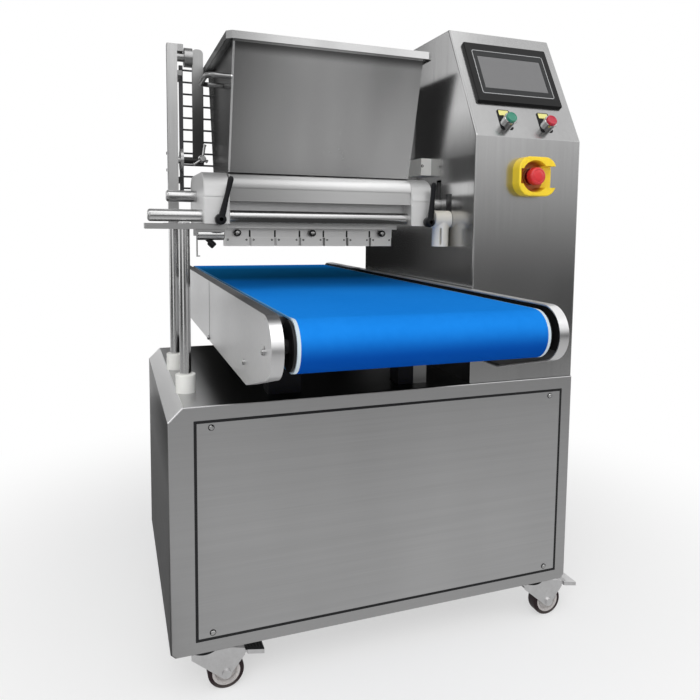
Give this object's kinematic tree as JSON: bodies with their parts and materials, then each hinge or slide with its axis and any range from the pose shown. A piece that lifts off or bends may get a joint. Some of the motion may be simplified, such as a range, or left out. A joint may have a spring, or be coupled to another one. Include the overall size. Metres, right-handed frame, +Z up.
{
  "type": "macaron depositor",
  "caption": "Floor-standing macaron depositor: steel cabinet on casters, control column, belt conveyor, lifting pump head with hopper and a row of nozzles.",
  "frame": {"origin": "floor level, at the middle of the bounding box", "axes": "+X to the machine's right with the control column, +Y to the back along the belt, +Z up"},
  "size_m": [0.882, 1.218, 1.2372],
  "materials": {
    "brushed_stainless": "brushed",
    "hopper_stainless": "brushed",
    "polished_stainless": "polished",
    "bright_steel": "fine brushed",
    "chromed_rod": "polished",
    "zinc_steel": "zinc plated",
    "cast_aluminium": "machined",
    "polished_aluminium": "polished",
    "guard_wire": "dark",
    "black_paint": "satin",
    "black_knob": "satin",
    "dark_plastic": "satin",
    "screen_glass": "glossy",
    "yellow_plastic": "satin",
    "green_plastic": "glossy",
    "red_plastic": "glossy",
    "white_nylon": "satin",
    "blue_belt": "satin",
    "grey_wheel": "satin",
    "maroon_tyre": "matte"
  },
  "bodies": {
    "base": {"cabinet_shell": "brushed_stainless", "front_panel": "brushed_stainless", "rear_panel": "brushed_stainless", "cover_screws": "bright_steel", "caster_plates": "zinc_steel", "column_shell": "brushed_stainless", "column_back_cover": "brushed_stainless", "hmi_bezel": "dark_plastic", "hmi_screen": "screen_glass", "button_collars": "dark_plastic", "estop_guard": "yellow_plastic", "post_bushes": "white_nylon", "hopper_sensor_block": "white_nylon", "left_conveyor_cover": "brushed_stainless", "right_conveyor_cover": "brushed_stainless", "conveyor_frame": "black_paint", "conveyor_bed": "bright_steel", "conveyor_belt": "blue_belt", "control_plate": "zinc_steel", "lift_actuator": "cast_aluminium"},
    "head": {"lift_posts": "chromed_rod", "lift_crosshead": "cast_aluminium", "support_bars": "bright_steel", "head_rods": "chromed_rod", "pump_body": "cast_aluminium", "pump_cover": "polished_stainless", "end_blocks": "polished_aluminium", "rod_boss": "white_nylon", "column_carriage": "cast_aluminium", "feed_motor": "cast_aluminium", "nozzle_manifold": "cast_aluminium", "nozzle_blocks": "cast_aluminium", "thumb_screws": "black_knob", "rear_guard": "guard_wire", "guard_frame": "bright_steel"},
    "drive_roller": {"drive_roller": "bright_steel"},
    "nose_roller": {"nose_roller": "bright_steel"},
    "start_button_cap": {"start_button_cap": "green_plastic"},
    "stop_button_cap": {"stop_button_cap": "red_plastic"},
    "estop_stem": {"estop_stem": "dark_plastic"},
    "estop_mushroom": {"estop_mushroom": "red_plastic"},
    "hopper": {"hopper": "hopper_stainless"},
    "front_feed_roller": {"front_feed_roller": "polished_aluminium"},
    "rear_feed_roller": {"rear_feed_roller": "polished_aluminium"},
    "left_clamp_lever": {"left_clamp_lever": "black_knob"},
    "right_clamp_lever": {"right_clamp_lever": "black_knob"},
    "front_left_caster": {"front_left_fork": "zinc_steel"},
    "front_left_wheel": {"front_left_hub": "grey_wheel", "front_left_tyre": "maroon_tyre"},
    "front_right_caster": {"front_right_fork": "zinc_steel"},
    "front_right_wheel": {"front_right_hub": "grey_wheel", "front_right_tyre": "maroon_tyre"},
    "rear_left_caster": {"rear_left_fork": "zinc_steel"},
    "rear_left_wheel": {"rear_left_hub": "grey_wheel", "rear_left_tyre": "maroon_tyre"},
    "rear_right_caster": {"rear_right_fork": "zinc_steel"},
    "rear_right_wheel": {"rear_right_hub": "grey_wheel", "rear_right_tyre": "maroon_tyre"},
    "front_left_brake": {"front_left_pedal": "zinc_steel"},
    "front_right_brake": {"front_right_pedal": "zinc_steel"}
  },
  "joints": [
    {"name": "belt_drive", "type": "hinge", "parent": "base", "child": "drive_roller", "pos_m": [-0.075, 0.5645, 0.675], "axis": [1, 0, 0], "continuous": true},
    {"name": "belt_nose", "type": "hinge", "parent": "base", "child": "nose_roller", "pos_m": [-0.075, -0.5645, 0.675], "axis": [1, 0, 0], "continuous": true},
    {"name": "start_press", "type": "slide", "parent": "base", "child": "start_button_cap", "axis": [0, 0.8746, -0.4848], "range_m": [0, 0.004], "stiffness_N_per_m": 300, "springref_m": -0.003},
    {"name": "stop_press", "type": "slide", "parent": "base", "child": "stop_button_cap", "axis": [0, 0.8746, -0.4848], "range_m": [0, 0.004], "stiffness_N_per_m": 300, "springref_m": -0.003},
    {"name": "estop_press", "type": "slide", "parent": "base", "child": "estop_stem", "axis": [0, 1, 0], "range_m": [0, 0.005], "stiffness_N_per_m": 600, "springref_m": -0.004},
    {"name": "estop_twist", "type": "hinge", "parent": "estop_stem", "child": "estop_mushroom", "pos_m": [0.275, -0.319, 0.937], "axis": [0, -1, 0], "range_deg": [-45, 0], "stiffness_Nm_per_rad": 0.05},
    {"name": "head_lift", "type": "slide", "parent": "base", "child": "head", "axis": [0, 0, 1], "range_m": [0, 0.04]},
    {"name": "hopper_lift_out", "type": "slide", "parent": "head", "child": "hopper", "axis": [0, 0, 1], "range_m": [0, 0.06]},
    {"name": "front_feed_turn", "type": "hinge", "parent": "head", "child": "front_feed_roller", "pos_m": [-0.118, -0.151, 0.884], "axis": [1, 0, 0], "continuous": true},
    {"name": "rear_feed_turn", "type": "hinge", "parent": "head", "child": "rear_feed_roller", "pos_m": [-0.118, -0.087, 0.884], "axis": [1, 0, 0], "continuous": true},
    {"name": "left_lever_turn", "type": "hinge", "parent": "head", "child": "left_clamp_lever", "pos_m": [-0.314, -0.223, 0.846], "axis": [0, 1, 0], "range_deg": [-60, 60]},
    {"name": "right_lever_turn", "type": "hinge", "parent": "head", "child": "right_clamp_lever", "pos_m": [0.095, -0.223, 0.846], "axis": [0, 1, 0], "range_deg": [-60, 30]},
    {"name": "front_left_swivel", "type": "hinge", "parent": "base", "child": "front_left_caster", "pos_m": [-0.355, -0.268, 0.0797], "axis": [0, 0, 1], "continuous": true},
    {"name": "front_left_roll", "type": "hinge", "parent": "front_left_caster", "child": "front_left_wheel", "pos_m": [-0.317, -0.268, 0.0325], "axis": [0, 1, 0], "continuous": true},
    {"name": "front_left_brake_press", "type": "hinge", "parent": "front_left_caster", "child": "front_left_brake", "pos_m": [-0.293, -0.268, 0.067], "axis": [0, 1, 0], "range_deg": [0, 15]},
    {"name": "front_right_swivel", "type": "hinge", "parent": "base", "child": "front_right_caster", "pos_m": [0.335, -0.268, 0.0797], "axis": [0, 0, 1], "continuous": true},
    {"name": "front_right_roll", "type": "hinge", "parent": "front_right_caster", "child": "front_right_wheel", "pos_m": [0.373, -0.268, 0.0325], "axis": [0, 1, 0], "continuous": true},
    {"name": "front_right_brake_press", "type": "hinge", "parent": "front_right_caster", "child": "front_right_brake", "pos_m": [0.397, -0.268, 0.067], "axis": [0, 1, 0], "range_deg": [0, 15]},
    {"name": "rear_left_swivel", "type": "hinge", "parent": "base", "child": "rear_left_caster", "pos_m": [-0.355, 0.226, 0.0797], "axis": [0, 0, 1], "continuous": true},
    {"name": "rear_left_roll", "type": "hinge", "parent": "rear_left_caster", "child": "rear_left_wheel", "pos_m": [-0.317, 0.226, 0.0325], "axis": [0, 1, 0], "continuous": true},
    {"name": "rear_right_swivel", "type": "hinge", "parent": "base", "child": "rear_right_caster", "pos_m": [0.335, 0.226, 0.0797], "axis": [0, 0, 1], "continuous": true},
    {"name": "rear_right_roll", "type": "hinge", "parent": "rear_right_caster", "child": "rear_right_wheel", "pos_m": [0.373, 0.226, 0.0325], "axis": [0, 1, 0], "continuous": true}
  ],
  "couplings": [
    {"joint": "belt_nose", "follows": "belt_drive", "ratio": 1},
    {"joint": "rear_feed_turn", "follows": "front_feed_turn", "ratio": -1}
  ]
}
